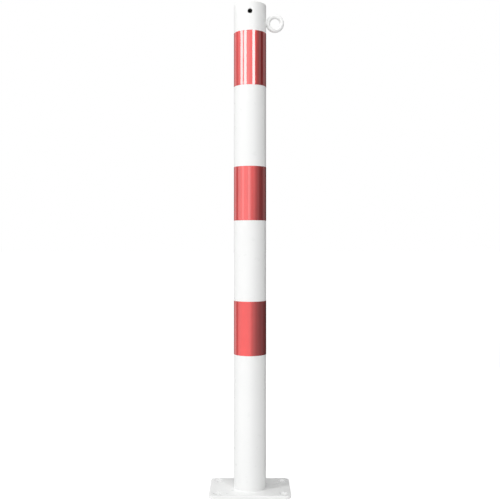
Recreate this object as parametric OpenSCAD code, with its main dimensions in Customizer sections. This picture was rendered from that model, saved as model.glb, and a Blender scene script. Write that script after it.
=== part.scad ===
// Bolt-down barrier post, in millimetres.
// A round steel tube stands in the bore of a drilled foot plate and is welded to it from below.
// A flat cap closes the top, a chain eye is welded to the side, and three reflective films are wrapped round it.
// The origin is on the tube's axis at ground level. The front is towards -Y and the chain eye towards +X.

/* [Post] */
// Height from the ground to the top of the cap
post_h = 910; // [750:5:1300]
// Outside diameter of the tube
tube_d = 60.3; // [48.3:0.1:76.1]
// Wall thickness of the tube
tube_wall = 2.5; // [2.3:0.1:4]
// Diameter of the vent hole in the tube's front wall
vent_d = 9; // [5:0.5:12]
// Distance from the top of the post down to the vent hole
vent_drop = 19; // [14:1:40]

/* [Cap] */
// Thickness of the flat cap
cap_t = 4; // [3.5:0.5:6]
// Radius on the cap's upper edge
cap_edge_r = 2; // [0.5:0.25:2]
// Depth of the weld groove between the cap and the tube
cap_weld_depth = 1.2; // [0.6:0.1:1.4]

/* [Foot plate] */
// Width of the plate, across the post's front
plate_w = 150; // [130:5:200]
// Depth of the plate, from front to back
plate_d = 100; // [90:5:160]
// Thickness of the plate
plate_t = 6; // [5:0.5:12]
// Radius of the plate's corners
plate_corner_r = 10; // [4:1:20]
// Softening radius along the plate's edges
plate_edge_r = 0.8; // [0.3:0.1:1.5]
// Diameter of the four anchor holes
anchor_d = 14; // [9:0.5:18]
// Distance from the plate's edges to the centre of each anchor hole
anchor_inset = 14; // [12:0.5:18]
// Gap round the tube in the plate's bore
bore_gap = 0.05; // [0.02:0.01:0.2]
// Depth of the weld recess below the tube's lower end
foot_recess = 3; // [2:0.25:3.5]

/* [Chain eye] */
// Diameter of the round bar that the eye is bent from
eye_bar_d = 8; // [6:0.5:10]
// Clear diameter inside the eye
eye_hole_d = 18; // [16:1:30]
// Distance from the top of the post down to the eye's centre
eye_drop = 34; // [28:1:60]
// Depth of the seat ground into the eye where it meets the tube
eye_seat = 0.4; // [0.2:0.1:0.8]
// Length of each weld bead beside the eye
eye_bead_len = 11; // [8:0.5:14]
// Radius of each weld bead beside the eye
eye_bead_r = 2.3; // [1.8:0.1:2.6]
// Distance from the tube's surface to each bead's centre line
eye_bead_out = 0.4; // [0:0.1:0.8]

/* [Reflective bands] */
// Height of each band
band_h = 100; // [60:5:120]
// Distance from each band to the same edge of the next one
band_pitch = 250; // [150:5:280]
// Clear distance from the chain eye down to the top band
band_clear = 3; // [1:1:30]
// Thickness of the reflective film
film_t = 0.3; // [0.2:0.05:0.5]
// Length by which each film's ends overlap at the back
film_lap = 10; // [5:1:20]

/* [Hidden] */
$fn = 96;

// Overshoot of a cutting shape past the surface that it cuts
cut_over = 1;
tube_r = tube_d / 2;
bore_r = tube_r + bore_gap;
tube_top_z = post_h - cap_t;
vent_z = post_h - vent_drop;
eye_ring_r = (eye_hole_d + eye_bar_d) / 2;
eye_outer_r = eye_ring_r + eye_bar_d / 2;
eye_x = tube_r + eye_outer_r - eye_seat;
eye_z = post_h - eye_drop;
band_top_z = eye_z - eye_outer_r - band_clear - band_h;
// Share of the tube's wall and of the recess that the foot weld fills
foot_weld_fill = 0.9;
foot_weld_leg = foot_weld_fill * min(foot_recess, tube_wall);
// Radius of the foot weld's hollow face, as a share of its leg
foot_weld_hollow = 0.8;
coat_white = "whitesmoke";
film_red = "tomato";

// The tube without its bore, which also shapes what seats against it
module tube_outside() {
    translate([0, 0, foot_recess])
        cylinder(r = tube_r, h = tube_top_z - foot_recess);
}

// Section of the groove and weld round the joint between the cap and the tube
module cap_groove_section() {
    polygon([
        [tube_r - cap_weld_depth, 0],
        [tube_r, -cap_weld_depth],
        [tube_r, cap_weld_depth]
    ]);
}

module post_tube() {
    color(coat_white)
        difference() {
            tube_outside();
            translate([0, 0, foot_recess - cut_over])
                cylinder(r = tube_r - tube_wall, h = post_h);
            translate([0, 0, vent_z])
                rotate([90, 0, 0])
                    cylinder(d = vent_d, h = tube_r + cut_over);
            translate([0, 0, tube_top_z])
                rotate_extrude()
                    cap_groove_section();
        }
}

// Half section of the cap, from its centre to its rounded upper edge
module cap_section() {
    square([tube_r - cap_edge_r, cap_t]);
    square([tube_r, cap_t - cap_edge_r]);
    intersection() {
        translate([tube_r - cap_edge_r, cap_t - cap_edge_r])
            circle(r = cap_edge_r);
        square([tube_r, cap_t]);
    }
}

module top_cap() {
    color(coat_white)
        translate([0, 0, tube_top_z])
            rotate_extrude()
                difference() {
                    cap_section();
                    cap_groove_section();
                }
}

module cap_weld() {
    color(coat_white)
        translate([0, 0, tube_top_z])
            rotate_extrude()
                cap_groove_section();
}

// Section through the plate's edge, from a centre line out to reach, with both rims rounded
module plate_edge_section(reach) {
    flat = reach - plate_edge_r;
    square([flat, plate_t]);
    translate([0, plate_edge_r])
        square([reach, plate_t - 2 * plate_edge_r]);
    for (rim_z = [plate_edge_r, plate_t - plate_edge_r])
        translate([flat, rim_z])
            circle(r = plate_edge_r);
}

// Bar of the plate that runs along X, with its two long edges rounded
module plate_bar(length, depth) {
    rotate([90, 0, 90])
        linear_extrude(height = length, center = true)
            for (side = [0, 1])
                mirror([side, 0])
                    plate_edge_section(depth / 2);
}

// Plate with rounded corners, as two crossing bars and four turned corners
module plate_blank() {
    long_w = plate_w - 2 * plate_corner_r;
    long_d = plate_d - 2 * plate_corner_r;
    plate_bar(long_w, plate_d);
    rotate([0, 0, 90])
        plate_bar(long_d, plate_w);
    for (corner = [0, 1, 2, 3]) {
        side_x = corner == 0 || corner == 3 ? 1 : -1;
        side_y = corner < 2 ? 1 : -1;
        translate([side_x * long_w / 2, side_y * long_d / 2, 0])
            rotate([0, 0, 90 * corner])
                rotate_extrude(angle = 90)
                    plate_edge_section(plate_corner_r);
    }
}

module base_plate() {
    color(coat_white)
        difference() {
            plate_blank();
            translate([0, 0, -cut_over])
                cylinder(r = bore_r, h = plate_t + 2 * cut_over);
            for (side_x = [-1, 1], side_y = [-1, 1])
                translate([
                    side_x * (plate_w / 2 - anchor_inset),
                    side_y * (plate_d / 2 - anchor_inset),
                    -cut_over
                ])
                    cylinder(d = anchor_d, h = plate_t + 2 * cut_over);
        }
}

// Hollow fillet in the corner between the plate's bore and the tube's lower end
module base_weld() {
    color(coat_white)
        rotate_extrude()
            translate([bore_r - foot_weld_leg, foot_recess - foot_weld_leg])
                difference() {
                    square(foot_weld_leg);
                    circle(r = foot_weld_hollow * foot_weld_leg);
                }
}

// Ring of the chain eye before its seat is ground
module eye_ring() {
    translate([eye_x, 0, eye_z])
        rotate([90, 0, 0])
            rotate_extrude()
                translate([eye_ring_r, 0])
                    circle(d = eye_bar_d);
}

module chain_eye() {
    color(coat_white)
        difference() {
            eye_ring();
            tube_outside();
        }
}

// Weld bead with round ends in the crevice beside the eye; side is -1 in front and 1 behind
module eye_weld(side) {
    bead_y = side * eye_bar_d / 2;
    half_run = eye_bead_len / 2 - eye_bead_r;
    color(coat_white)
        difference() {
            translate([tube_r + eye_bead_out, bead_y, eye_z]) {
                cylinder(r = eye_bead_r, h = 2 * half_run, center = true);
                for (end_z = [-half_run, half_run])
                    translate([0, 0, end_z])
                        sphere(r = eye_bead_r);
            }
            tube_outside();
            eye_ring();
        }
}

// Film wrapped round the tube, with its ends lapped at the back; place is 0 for the top band
module film_band(place) {
    color(film_red)
        translate([0, 0, band_top_z - place * band_pitch])
            linear_extrude(height = band_h)
                difference() {
                    union() {
                        circle(r = tube_r + film_t);
                        intersection() {
                            circle(r = tube_r + 2 * film_t);
                            translate([-film_lap / 2, 0])
                                square([film_lap, tube_d]);
                        }
                    }
                    circle(r = tube_r);
                }
}

post_tube();
top_cap();
cap_weld();
base_plate();
base_weld();
chain_eye();
eye_weld(-1);  // eye_weld_front
eye_weld(1);  // eye_weld_back
film_band(0);  // band_top
film_band(1);  // band_middle
film_band(2);  // band_bottom
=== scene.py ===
from math import asin, cos, pi, radians, sin, sqrt, tan

import bmesh
import bpy
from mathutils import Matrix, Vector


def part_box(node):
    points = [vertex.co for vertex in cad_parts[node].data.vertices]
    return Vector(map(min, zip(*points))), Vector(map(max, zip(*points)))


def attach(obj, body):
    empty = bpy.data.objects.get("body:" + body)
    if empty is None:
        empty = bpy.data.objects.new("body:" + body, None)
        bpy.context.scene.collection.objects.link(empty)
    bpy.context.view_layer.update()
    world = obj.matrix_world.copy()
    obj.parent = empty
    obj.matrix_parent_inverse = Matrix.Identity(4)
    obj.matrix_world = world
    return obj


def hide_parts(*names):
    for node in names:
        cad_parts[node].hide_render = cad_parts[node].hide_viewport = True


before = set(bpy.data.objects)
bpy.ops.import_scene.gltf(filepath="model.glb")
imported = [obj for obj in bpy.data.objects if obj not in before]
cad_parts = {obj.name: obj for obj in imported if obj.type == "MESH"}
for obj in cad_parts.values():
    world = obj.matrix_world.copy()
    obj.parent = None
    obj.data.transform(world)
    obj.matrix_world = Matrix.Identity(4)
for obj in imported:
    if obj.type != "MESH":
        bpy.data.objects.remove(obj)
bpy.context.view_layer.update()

# Lengths are in metres. Azimuths, rolls and sharp angles are in degrees, other angles in radians.

# Sizes of the CAD model, from the boxes of its nodes or else as in its source
tube_low, tube_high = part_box("post_tube")
plate_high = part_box("base_plate")[1]
TUBE_R = tube_high.x
TUBE_WALL = 0.0025
CAP_GROOVE = 0.0012
VENT_R = 0.0045
VENT_Z = 0.891
FILM_T = 0.0003
FILM_LAP = 0.010
ANCHOR_R = 0.007
ANCHOR_INSET = 0.014
PLATE_CORNER_R = 0.010
PLATE_EDGE_R = 0.0008
BORE_GAP = 0.00005
BORE_R = TUBE_R + BORE_GAP
FOOT_WELD_HOLLOW = 0.8
EYE_Z = 0.876
EYE_BAR_R = 0.004
BEAD_R = 0.0023
BEAD_OUT = 0.0004
BEAD_LEN = 0.011


# Node helpers

def link(tree, start, end):
    tree.links.new(start, end)


def new_material(name):
    """A material with an empty node tree and its output node."""
    mat = bpy.data.materials.new(name)
    mat.use_nodes = True
    mat.node_tree.nodes.clear()
    out = mat.node_tree.nodes.new("ShaderNodeOutputMaterial")
    return mat, mat.node_tree, out


def object_coords(tree):
    return tree.nodes.new("ShaderNodeTexCoord").outputs["Object"]


def noise(tree, coords, scale, detail, rough=0.5):
    n = tree.nodes.new("ShaderNodeTexNoise")
    n.inputs["Scale"].default_value = scale
    n.inputs["Detail"].default_value = detail
    n.inputs["Roughness"].default_value = rough
    link(tree, coords, n.inputs["Vector"])
    return n.outputs["Fac"]


def ramp(tree, value, low, high, colour_low, colour_high):
    """Colour between two ends, as value goes from low to high."""
    n = tree.nodes.new("ShaderNodeValToRGB")
    n.color_ramp.elements[0].position = low
    n.color_ramp.elements[1].position = high
    n.color_ramp.elements[0].color = (*colour_low, 1)
    n.color_ramp.elements[1].color = (*colour_high, 1)
    link(tree, value, n.inputs["Fac"])
    return n.outputs["Color"]


def remap(tree, value, low, high, out_low, out_high):
    """Number between two ends, as value goes from low to high."""
    n = tree.nodes.new("ShaderNodeMapRange")
    n.inputs["From Min"].default_value = low
    n.inputs["From Max"].default_value = high
    n.inputs["To Min"].default_value = out_low
    n.inputs["To Max"].default_value = out_high
    link(tree, value, n.inputs["Value"])
    return n.outputs["Result"]


def by_ray(tree, kind, others, these):
    """One number for rays of this kind, and another for the others."""
    ray = tree.nodes.new("ShaderNodeLightPath").outputs[kind]
    return remap(tree, ray, 0, 1, others, these)


def bump(tree, height, depth, normal=None):
    """Bump of a 0 to 1 height that is depth metres deep."""
    n = tree.nodes.new("ShaderNodeBump")
    n.inputs["Strength"].default_value = 1.0
    n.inputs["Distance"].default_value = depth
    link(tree, height, n.inputs["Height"])
    if normal is not None:
        link(tree, normal, n.inputs["Normal"])
    return n.outputs["Normal"]


def principled(tree, out, **values):
    bsdf = tree.nodes.new("ShaderNodeBsdfPrincipled")
    for key, value in values.items():
        bsdf.inputs[key.replace("_", " ")].default_value = value
    link(tree, bsdf.outputs["BSDF"], out.inputs["Surface"])
    return bsdf


# Materials

# Most values of a noise texture lie between these two
NOISE_LOW = 0.3
NOISE_HIGH = 0.7
COAT_SHADES = ((0.845, 0.85, 0.845), (0.865, 0.868, 0.862))
FILM_SHADES = ((0.70, 0.040, 0.038), (0.73, 0.047, 0.044))


def cloudy_finish(tree, coords, bsdf, shades, shade_scale, roughnesses, roughness_scale):
    """Lets the colour and the roughness drift in clouds, each between its two values."""
    shade_cloud = noise(tree, coords, shade_scale, detail=3, rough=0.6)
    shade = ramp(tree, shade_cloud, NOISE_LOW, NOISE_HIGH, *shades)
    link(tree, shade, bsdf.inputs["Base Color"])
    roughness_cloud = noise(tree, coords, roughness_scale, detail=3)
    roughness = remap(tree, roughness_cloud, NOISE_LOW, NOISE_HIGH, *roughnesses)
    link(tree, roughness, bsdf.inputs["Roughness"])


def white_coat_material():
    """White powder coat on steel, with its fine orange peel."""
    mat, tree, out = new_material("coat_white")
    coords = object_coords(tree)
    bsdf = principled(tree, out, IOR=1.35)
    cloudy_finish(
        tree, coords, bsdf, shades=COAT_SHADES, shade_scale=14,
        roughnesses=(0.27, 0.34), roughness_scale=90)
    peel = bump(tree, noise(tree, coords, scale=420, detail=2, rough=0.45), depth=0.000012)
    grain = bump(tree, noise(tree, coords, scale=2200, detail=2), depth=0.000002, normal=peel)
    link(tree, grain, bsdf.inputs["Normal"])
    return mat


def red_film_material():
    """Red reflective film: fine beads that shine like metal under a smooth clear face."""
    mat, tree, out = new_material("film_red")
    coords = object_coords(tree)
    bsdf = principled(
        tree, out, Metallic=1.0, Specular_IOR_Level=0.0, Specular_Tint=(1, 0.5, 0.5, 1),
        Coat_Weight=1.0, Coat_Roughness=0.02, Coat_IOR=2.1)
    cloudy_finish(
        tree, coords, bsdf, shades=FILM_SHADES, shade_scale=30,
        roughnesses=(0.40, 0.44), roughness_scale=120)
    beads = bump(tree, noise(tree, coords, scale=2400, detail=2, rough=0.6), depth=0.00001)
    link(tree, beads, bsdf.inputs["Normal"])
    return mat


coat_white = white_coat_material()
film_red = red_film_material()


# Mesh helpers

def add_object(name, data):
    obj = bpy.data.objects.new(name, data)
    bpy.context.scene.collection.objects.link(obj)
    return obj


def new_ring(bm, points):
    return [bm.verts.new(p) for p in points]


def bridge(bm, ring_a, ring_b):
    """Band of quads between two closed rings of the same length."""
    for i in range(len(ring_a)):
        j = (i + 1) % len(ring_a)
        bm.faces.new((ring_a[i], ring_a[j], ring_b[j], ring_b[i]))


def bridge_all(bm, rings):
    """Bands between each ring and the next."""
    for ring_a, ring_b in zip(rings, rings[1:]):
        bridge(bm, ring_a, ring_b)


def finish_mesh(bm, name, material, sharp_angle):
    """Object from a closed bmesh, smooth apart from the edges sharper than that angle."""
    bmesh.ops.recalc_face_normals(bm, faces=bm.faces)
    mesh = bpy.data.meshes.new(name)
    bm.to_mesh(mesh)
    bm.free()
    mesh.shade_smooth()
    mesh.set_sharp_from_angle(angle=radians(sharp_angle))
    mesh.materials.append(material)
    return add_object(name, mesh)


def stand_for(piece, node):
    """The piece is on the one body and is shown in place of the node."""
    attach(piece, "root")
    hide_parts(node)


# Tube

# The wall is a grid of columns, with a square patch of it left open for the rings of the vent hole
COLUMNS = 144
HALF = COLUMNS // 2
PATCH = 6  # columns or rows from the patch's centre to its edge
TURN = 2 * pi / COLUMNS
PITCH = TURN * TUBE_R
LAST_ROW = 2 * PATCH + 2  # row 0 is the foot, and the patch reaches from row 1 to the last but one
VENT_RIM = 0.0003
VENT_ROLLS = (30, 60, 90)


def on_wall(radius, angle, z):
    """Point of a round wall; the angle is 0 at the front."""
    return (radius * sin(angle), -radius * cos(angle), z)


def wall_grid(bm, radius, low, high):
    """Round wall with the open patch in its front, as its vertices by column and row."""
    levels = [low] + [VENT_Z + k * PITCH for k in range(-PATCH, PATCH + 1)] + [high]
    grid = {}
    for row, z in enumerate(levels):
        for column in range(-HALF, HALF):
            if abs(column) >= PATCH or not 1 < row < LAST_ROW - 1:
                grid[column, row] = bm.verts.new(on_wall(radius, column * TURN, z))
    for row in range(LAST_ROW):
        for column in range(-HALF, HALF):
            if -PATCH <= column < PATCH and 1 <= row < LAST_ROW - 1:
                continue
            beside = column + 1 if column + 1 < HALF else -HALF
            corners = ((column, row), (beside, row), (beside, row + 1), (column, row + 1))
            bm.faces.new([grid[corner] for corner in corners])
    return grid


def patch_side(step):
    """Column offset of a point that walks round the patch's edge.

    Its row offset is the column offset that it had a quarter of the way before.
    """
    return max(-PATCH, min(PATCH, abs(step % (8 * PATCH) - 4 * PATCH) - 2 * PATCH))


def vent_rings(bm, grid, radius, rim):
    """Rings from the patch's square edge to the hole's round edge, then over its rim."""
    count = 8 * PATCH
    places = [(patch_side(j), patch_side(j - 2 * PATCH), 2 * pi * j / count) for j in range(count)]
    rings = [[grid[u, v + PATCH + 1] for u, v, _ in places]]
    for share in (0.25, 0.5, 0.75, 1.0):
        points = []
        for u, v, t in places:
            edge_angle = asin((VENT_R + rim) * cos(t) / radius)
            edge_z = VENT_Z + (VENT_R + rim) * sin(t)
            points.append(on_wall(
                radius,
                u * TURN + share * (edge_angle - u * TURN),
                VENT_Z + v * PITCH + share * (edge_z - VENT_Z - v * PITCH)))
        rings.append(new_ring(bm, points))
    for roll in VENT_ROLLS if rim else ():
        reach = VENT_R + rim * (1 - sin(radians(roll)))
        sink = rim * (1 - cos(radians(roll)))
        points = []
        for _, _, t in places:
            x = reach * cos(t)
            points.append((x, sink - sqrt(radius ** 2 - x ** 2), VENT_Z + reach * sin(t)))
        rings.append(new_ring(bm, points))
    return rings


def wall_with_vent(bm, radius, low, high, rim):
    """Round wall with the vent hole in its front; returns its lower, upper and hole rings."""
    grid = wall_grid(bm, radius, low, high)
    rings = vent_rings(bm, grid, radius, rim)
    bridge_all(bm, rings)
    lower = [grid[column, 0] for column in range(-HALF, HALF)]
    upper = [grid[column, LAST_ROW] for column in range(-HALF, HALF)]
    return lower, upper, rings[-1]


def make_tube():
    """Tube with a softened vent hole, cut back under the cap weld."""
    bm = bmesh.new()
    weld_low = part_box("cap_weld")[0].z
    foot_out, top_out, hole_out = wall_with_vent(bm, TUBE_R, tube_low.z, weld_low, VENT_RIM)
    foot_in, top_in, hole_in = wall_with_vent(
        bm, TUBE_R - TUBE_WALL, tube_low.z, tube_high.z, 0)
    shrink = 1 - CAP_GROOVE / TUBE_R
    groove = new_ring(bm, [(v.co.x * shrink, v.co.y * shrink, tube_high.z) for v in top_out])
    bridge(bm, foot_out, foot_in)
    bridge_all(bm, [top_out, groove, top_in])
    bridge(bm, hole_out, hole_in)
    return finish_mesh(bm, "tube_wall", coat_white, sharp_angle=40)


stand_for(make_tube(), "post_tube")


# Foot plate

HOLE_RIM = 0.0005
BORE_RIM = 0.0003
PAINT_FILLET = 0.0008
FILLET_TUCK = 0.0001  # how far the fillet's upper edge reaches past the bore, into the tube's wall
SUPPORT = 0.0003  # width of the flat strip beside each rim, which keeps its shading crisp
ARC_STEPS = 6
CORNER_STEPS = 12
BORE_STEPS = 96
HOLE_STEPS = 48


def arc(inset, z, radius, start, end):
    """Section points of an arc about that centre, between two angles in degrees."""
    points = []
    for i in range(ARC_STEPS + 1):
        a = radians(start + (end - start) * i / ARC_STEPS)
        points.append((inset + radius * cos(a), z + radius * sin(a)))
    return points


def lower_rim(rim):
    return arc(rim, rim, rim, 180, 270) + [(rim + SUPPORT, 0.0)]


def rim_profile(rim):
    """Section round an edge of the plate as (inset, z), from its top face to its underside."""
    thick = plate_high.z
    return [(rim + SUPPORT, thick)] + arc(rim, thick - rim, rim, 90, 180) + lower_rim(rim)


def bore_profile():
    """Section round the bore: a small paint fillet up to the tube, and a softened lower rim."""
    thick = plate_high.z
    fillet_top = thick + PAINT_FILLET
    fillet = arc(PAINT_FILLET, fillet_top, PAINT_FILLET, 270, 180)
    tuck = (-FILLET_TUCK, fillet_top)
    return [(PAINT_FILLET + SUPPORT, thick)] + fillet + [tuck] + lower_rim(BORE_RIM)


def circle_loop(x, y, radius, steps):
    """Loop of a hole; each inset step lies that much farther into the plate."""
    def at(inset):
        points = []
        for i in range(steps):
            a = 2 * pi * i / steps
            points.append((x + (radius + inset) * cos(a), y + (radius + inset) * sin(a)))
        return points
    return at


def outline_loop(steps):
    """Loop of the plate's outline, with its round corners."""
    centre_x = plate_high.x - PLATE_CORNER_R
    centre_y = plate_high.y - PLATE_CORNER_R

    def at(inset):
        r = PLATE_CORNER_R - inset
        points = []
        for corner, (side_x, side_y) in enumerate(((1, 1), (-1, 1), (-1, -1), (1, -1))):
            for i in range(steps + 1):
                a = pi / 2 * (corner + i / steps)
                points.append((side_x * centre_x + r * cos(a), side_y * centre_y + r * sin(a)))
        return points
    return at


def make_plate():
    """Plate with softened rims, as rings round each edge and two flat faces between them."""
    bm = bmesh.new()
    edges = [
        (outline_loop(CORNER_STEPS), rim_profile(PLATE_EDGE_R)),
        (circle_loop(0, 0, BORE_R, BORE_STEPS), bore_profile()),
    ]
    for side_x in (-1, 1):
        for side_y in (-1, 1):
            x = side_x * (plate_high.x - ANCHOR_INSET)
            y = side_y * (plate_high.y - ANCHOR_INSET)
            edges.append((circle_loop(x, y, ANCHOR_R, HOLE_STEPS), rim_profile(HOLE_RIM)))
    top_edges, bottom_edges = [], []
    for loop, profile in edges:
        rings = [new_ring(bm, [(x, y, z) for x, y in loop(inset)]) for inset, z in profile]
        bridge_all(bm, rings)
        for ring, face_edges in ((rings[0], top_edges), (rings[-1], bottom_edges)):
            face_edges += [bm.edges.get((ring[i - 1], ring[i])) for i in range(len(ring))]
    for face_edges, way in ((top_edges, 1), (bottom_edges, -1)):
        bmesh.ops.triangle_fill(bm, use_beauty=True, edges=face_edges, normal=(0, 0, way))
    return finish_mesh(bm, "plate_face", coat_white, sharp_angle=30)


stand_for(make_plate(), "base_plate")


# Welds

BEAD_STEPS_ROUND = 28
BEAD_STEPS_ALONG = 66
RIPPLE_PITCH = 0.0011
RIPPLE_BOW = 0.0003
RIPPLE_DEPTH = 0.00016
FOOT_RIPPLES = 112
FOOT_RIPPLE_DEPTH = 0.00008
FOOT_RIPPLE_STEPS = 6
FOOT_FACE_STEPS = 8


def make_eye_bead(name, side):
    """Weld bead beside the chain eye, with the ripples of a short run; side is -1 in front."""
    bm = bmesh.new()
    half_run = BEAD_LEN / 2 - BEAD_R
    rings = []
    for i in range(1, BEAD_STEPS_ALONG):
        along = BEAD_LEN / 2 * -cos(pi * i / BEAD_STEPS_ALONG)
        past = max(0.0, abs(along) - half_run)
        radius = sqrt(BEAD_R ** 2 - past ** 2)
        points = []
        for j in range(BEAD_STEPS_ROUND):
            a = 2 * pi * j / BEAD_STEPS_ROUND
            wave = (1 - cos(2 * pi * (along + RIPPLE_BOW * cos(2 * a)) / RIPPLE_PITCH)) / 2
            r = radius - RIPPLE_DEPTH * wave * radius / BEAD_R
            x = TUBE_R + BEAD_OUT + r * cos(a)
            y = side * EYE_BAR_R + r * sin(a)
            points.append((x, y, EYE_Z + along))
        rings.append(new_ring(bm, points))
    bridge_all(bm, rings)
    bm.faces.new(rings[0])
    bm.faces.new(rings[-1])
    return finish_mesh(bm, name, coat_white, sharp_angle=60)


def make_foot_weld():
    """Hollow fillet weld in the recess under the tube, with its ripples."""
    low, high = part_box("base_weld")
    leg = high.z - low.z
    hollow_r = FOOT_WELD_HOLLOW * leg
    inner = BORE_R - leg
    count = FOOT_RIPPLES * FOOT_RIPPLE_STEPS
    bm = bmesh.new()
    rings = []
    for i in range(count):
        a = 2 * pi * i / count
        dip = FOOT_RIPPLE_DEPTH * (1 - cos(FOOT_RIPPLES * a)) / 2
        section = [(BORE_R, low.z), (BORE_R, high.z), (inner, high.z)]
        for k in range(FOOT_FACE_STEPS + 1):
            t = pi / 2 * (1 - k / FOOT_FACE_STEPS)
            r = hollow_r + dip
            section.append((inner + r * cos(t), low.z + r * sin(t)))
        rings.append(new_ring(bm, [(r * cos(a), r * sin(a), z) for r, z in section]))
    bridge_all(bm, rings + rings[:1])
    return finish_mesh(bm, "foot_bead", coat_white, sharp_angle=50)


stand_for(make_eye_bead("eye_bead_front", -1), "eye_weld_front")
stand_for(make_eye_bead("eye_bead_back", 1), "eye_weld_back")
stand_for(make_foot_weld(), "base_weld")


# Reflective films

FILM_CLIMB = 0.0008
LAP_STEPS = 6
CLIMB_STEPS = 4
FREE_STEPS = 180


def film_radii():
    """Angle and outer radius round the film, from the free end of its lap back to that end.

    The angle is 0 at the back. The upper layer ends in a step at one side of the lap and
    climbs over the lower layer's end at the other.
    """
    outer = TUBE_R + FILM_T
    half_lap = FILM_LAP / 2 / TUBE_R
    climb = FILM_CLIMB / TUBE_R
    free = 2 * pi - 2 * half_lap
    radii = []
    for i in range(LAP_STEPS + 1):
        radii.append((-half_lap + (2 * half_lap - climb) * i / LAP_STEPS, outer + FILM_T))
    for i in range(1, CLIMB_STEPS + 1):
        rise = FILM_T * (1 + cos(pi * i / CLIMB_STEPS)) / 2
        radii.append((half_lap - climb + climb * i / CLIMB_STEPS, outer + rise))
    for i in range(1, FREE_STEPS + 1):
        radii.append((half_lap + free * i / FREE_STEPS, outer))
    return radii


def make_film(name, node):
    """Thin band wrapped round the tube, between the heights of its CAD node."""
    low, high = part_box(node)
    bm = bmesh.new()
    rings = []
    for angle, radius in film_radii():
        section = ((TUBE_R, low.z), (radius, low.z), (radius, high.z), (TUBE_R, high.z))
        rings.append(new_ring(bm, [(r * sin(angle), r * cos(angle), z) for r, z in section]))
    bridge_all(bm, rings + rings[:1])
    return finish_mesh(bm, name, film_red, sharp_angle=20)


for place in ("top", "middle", "bottom"):
    stand_for(make_film("film_" + place, "band_" + place), "band_" + place)

for name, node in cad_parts.items():
    node.data.materials.clear()
    node.data.materials.append(film_red if name.startswith("band") else coat_white)


# Studio

# Azimuth 0 is the front and 90 the right side. A lamp's radiance and a card's glow of 1 are white.

LAMP_WAY = 2.2  # distance of the lamps from the post's axis
# First and last azimuth, lowest and highest point and radiance of each lamp. The first three draw
# the bright stripes of the top band, and the others light the post from higher up.
LAMPS = {
    "key_left": (-70.5, -51.2, 1.2, 1.53, 5.0),
    "key_front": (-43.5, -23.8, 1.2, 1.53, 5.5),
    "fill_right": (16.8, 35.0, 1.2, 1.53, 5.6),
    "side_high": (-112, -80, 1.64, 2.4, 2.2),
    "key_sharp": (-60.5, -55.5, 4.0, 5.2, 150),
    "front_top": (-12, 22, 3.4, 4.6, 10),
    "fill_high": (16.8, 35.4, 2.4, 3.6, 5),
}

# A round wall about the post gives the films and the coat their dull reflections, bright on the
# left and dark on the right. Its tiers, from the floor up: distance, lowest and highest point.
TIERS = {
    "foot": (1.6, 0.0, 0.25),
    "sill": (1.6, 0.25, 0.5),
    "low": (1.6, 0.5, 0.8),
    "gap": (2.1, 0.8, 1.1),
    "middle": (2.1, 1.1, 1.6),
    "high": (2.35, 1.6, 5.0),
}
# Its stretches: first and last azimuth, then the glow of each tier, or None where it stays open
# for the lamps behind it
WALLS = (
    (-150, -131, 0.5, 0.5, 0.5, 0.5, 0.5, 0.5),
    (-131, -114, 1.1, 1.1, 1.1, 1.1, 1.1, 0.9),
    (-114, -92, 0.35, 0.6, 0.35, 0.8, 0.45, 1.0),
    (-92, -23.5, 0.88, 1.2, 1.25, 0.0, None, 0.05),
    (-23.5, -3, 0.88, 1.2, 1.25, 0.0, 1.6, 0.5),
    (-3, 8, 0.88, 1.2, 1.22, 0.0, 1.2, 1.1),
    (8, 37, 0.63, 0.6, 0.7, 0.0, None, 1.5),
    (37, 66, 0.42, 0.1, 0.42, 0.1, 0.35, 0.0),
    (66, 83, 0.3, 0.0, 0.2, 0.1, 0.46, 0.0),
    (83, 103, 0.32, 0.0, 0.18, 0.0, 0.08, 0.0),
    (103, 131, 0.16, 0.0, 0.36, 0.0, 0.48, 0.0),
    (131, 150, 0.0, 0.0, 0.08, 0.0, 0.2, 0.1),
    (150, 175, 0.04, 0.04, 0.04, 0.04, 0.04, 0.4),
    (175, 210, 0.5, 0.5, 0.5, 0.5, 0.5, 0.5),
)

# Two cards before the wall draw the bright streaks of the middle band
STREAK_WAY = 1.58
STREAK_LOW = 0.5
STREAK_HIGH = 0.8
STREAKS = {
    "streak_left": (-55, -45, 1.9),
    "streak_front": (-11.5, -3, 1.95),
}

# First and last azimuth, nearest and farthest distance and glow of the cards on the floor
FLOOR_CARD_Z = 0.0002
FLOOR_CARDS = {
    "floor_card_left": (-92, 8, 0.12, 1.6, 1.8),
    "floor_card_right": (8, 103, 0.12, 0.8, 0.44),
    "floor_card_rim": (103, 150, 0.12, 0.8, 0.1),
    "floor_card_far_right": (8, 150, 0.8, 1.6, 0.0),
    "floor_card_back": (150, 268, 0.12, 2.1, 0.65),
}
CARD_STEPS = 16

# Strength of the world as it is seen, and as it lights rough surfaces
WORLD_SEEN = 1.0
WORLD_LIGHT = 0.5

FLOOR_REACH = 30
FLOOR_Z = -0.0003
FLOOR_PAINT = 0.15
# Glow of the floor as the camera sees it, and for all other rays
FLOOR_SEEN = 0.975
FLOOR_LIGHT = 0.7

# Camera fitted to the edges of the plate and of the three bands in the photograph
CAMERA_WAY = 1.347
CAMERA_Z = 0.4669
CAMERA_SENSOR_MM = 36
CAMERA_LENS_MM = 51.594
CAMERA_SHIFT_Y = -0.0171


def around(azimuth, distance, z):
    """Point at that distance from the post's axis."""
    a = radians(azimuth)
    return (distance * sin(a), -distance * cos(a), z)


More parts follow.
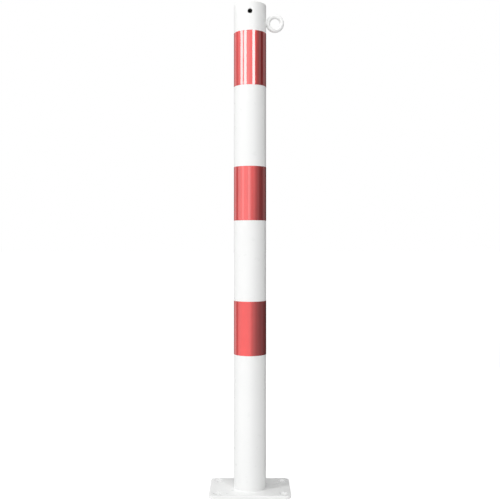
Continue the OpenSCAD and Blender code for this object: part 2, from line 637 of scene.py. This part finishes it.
def make_world():
    """Even white all round, with less of it for the light that it casts."""
    world = bpy.data.worlds.new("studio")
    world.use_nodes = True
    tree = world.node_tree
    background = tree.nodes["Background"]
    background.inputs["Color"].default_value = (1, 1, 1, 1)
    strength = by_ray(tree, "Is Diffuse Ray", WORLD_SEEN, WORLD_LIGHT)
    link(tree, strength, background.inputs["Strength"])
    bpy.context.scene.world = world


def make_floor():
    """White floor that keeps the post's shadow, and that a view from below looks through."""
    mesh = bpy.data.meshes.new("floor")
    sides = ((-1, -1), (1, -1), (1, 1), (-1, 1))
    mesh.from_pydata([(x * FLOOR_REACH, y * FLOOR_REACH, 0) for x, y in sides], [], [(0, 1, 2, 3)])
    floor = add_object("floor", mesh)
    floor.location.z = FLOOR_Z
    mat, tree, out = new_material("floor_white")
    glow = tree.nodes.new("ShaderNodeEmission")
    strength = by_ray(tree, "Is Camera Ray", FLOOR_LIGHT, FLOOR_SEEN)
    link(tree, strength, glow.inputs["Strength"])
    paint = tree.nodes.new("ShaderNodeBsdfDiffuse")
    paint.inputs["Color"].default_value = (FLOOR_PAINT, FLOOR_PAINT, FLOOR_PAINT, 1)
    both = tree.nodes.new("ShaderNodeAddShader")
    link(tree, glow.outputs[0], both.inputs[0])
    link(tree, paint.outputs[0], both.inputs[1])
    clear = tree.nodes.new("ShaderNodeBsdfTransparent")
    side = tree.nodes.new("ShaderNodeMixShader")
    geometry = tree.nodes.new("ShaderNodeNewGeometry")
    link(tree, geometry.outputs["Backfacing"], side.inputs["Fac"])
    link(tree, both.outputs[0], side.inputs[1])
    link(tree, clear.outputs[0], side.inputs[2])
    link(tree, side.outputs[0], out.inputs["Surface"])
    mesh.materials.append(mat)


def make_lamp(name, start, end, low, high, radiance):
    """Upright soft box between two azimuths, facing the post."""
    middle = (start + end) / 2
    width = 2 * LAMP_WAY * tan(radians(end - start) / 2)
    height = high - low
    data = bpy.data.lights.new(name, "AREA")
    data.shape = "RECTANGLE"
    data.size = width
    data.size_y = height
    data.energy = radiance * pi * width * height
    lamp = add_object(name, data)
    lamp.location = around(middle, LAMP_WAY, (low + high) / 2)
    lamp.rotation_euler = (pi / 2, 0, radians(middle))


def make_card(name, start, end, edge_a, edge_b, glow):
    """Glowing card between two azimuths and two (distance, z) edges, unseen by the camera."""
    points = []
    for i in range(CARD_STEPS + 1):
        azimuth = start + (end - start) * i / CARD_STEPS
        points += [around(azimuth, *edge_a), around(azimuth, *edge_b)]
    faces = [(2 * i, 2 * i + 2, 2 * i + 3, 2 * i + 1) for i in range(CARD_STEPS)]
    mesh = bpy.data.meshes.new(name)
    mesh.from_pydata(points, [], faces)
    mat, tree, out = new_material(name)
    light = tree.nodes.new("ShaderNodeEmission")
    light.inputs["Strength"].default_value = glow
    link(tree, light.outputs[0], out.inputs["Surface"])
    mesh.materials.append(mat)
    card = add_object(name, mesh)
    card.visible_camera = False
    return card


def make_wall():
    """The round wall, as one card for each tier of each stretch."""
    for start, end, *glows in WALLS:
        for (tier, (distance, low, high)), glow in zip(TIERS.items(), glows):
            if glow is not None:
                name = "wall_%s_%d" % (tier, start % 360)
                make_card(name, start, end, (distance, low), (distance, high), glow)


def make_floor_card(name, start, end, near, far, glow):
    """Card on the floor that only reflections show."""
    card = make_card(name, start, end, (near, FLOOR_CARD_Z), (far, FLOOR_CARD_Z), glow)
    card.visible_diffuse = False
    card.visible_shadow = False


def make_camera():
    """Level camera in front of the post."""
    data = bpy.data.cameras.new("camera")
    data.sensor_width = CAMERA_SENSOR_MM
    data.lens = CAMERA_LENS_MM
    data.shift_y = CAMERA_SHIFT_Y
    camera = add_object("camera", data)
    camera.location = around(0, CAMERA_WAY, CAMERA_Z)
    camera.rotation_euler = (pi / 2, 0, 0)
    bpy.context.scene.camera = camera


make_world()
make_floor()
for name, facts in LAMPS.items():
    make_lamp(name, *facts)
make_wall()
for name, (start, end, glow) in STREAKS.items():
    make_card(name, start, end, (STREAK_WAY, STREAK_LOW), (STREAK_WAY, STREAK_HIGH), glow)
for name, facts in FLOOR_CARDS.items():
    make_floor_card(name, *facts)
make_camera()
bpy.context.scene.view_settings.view_transform = "Standard"
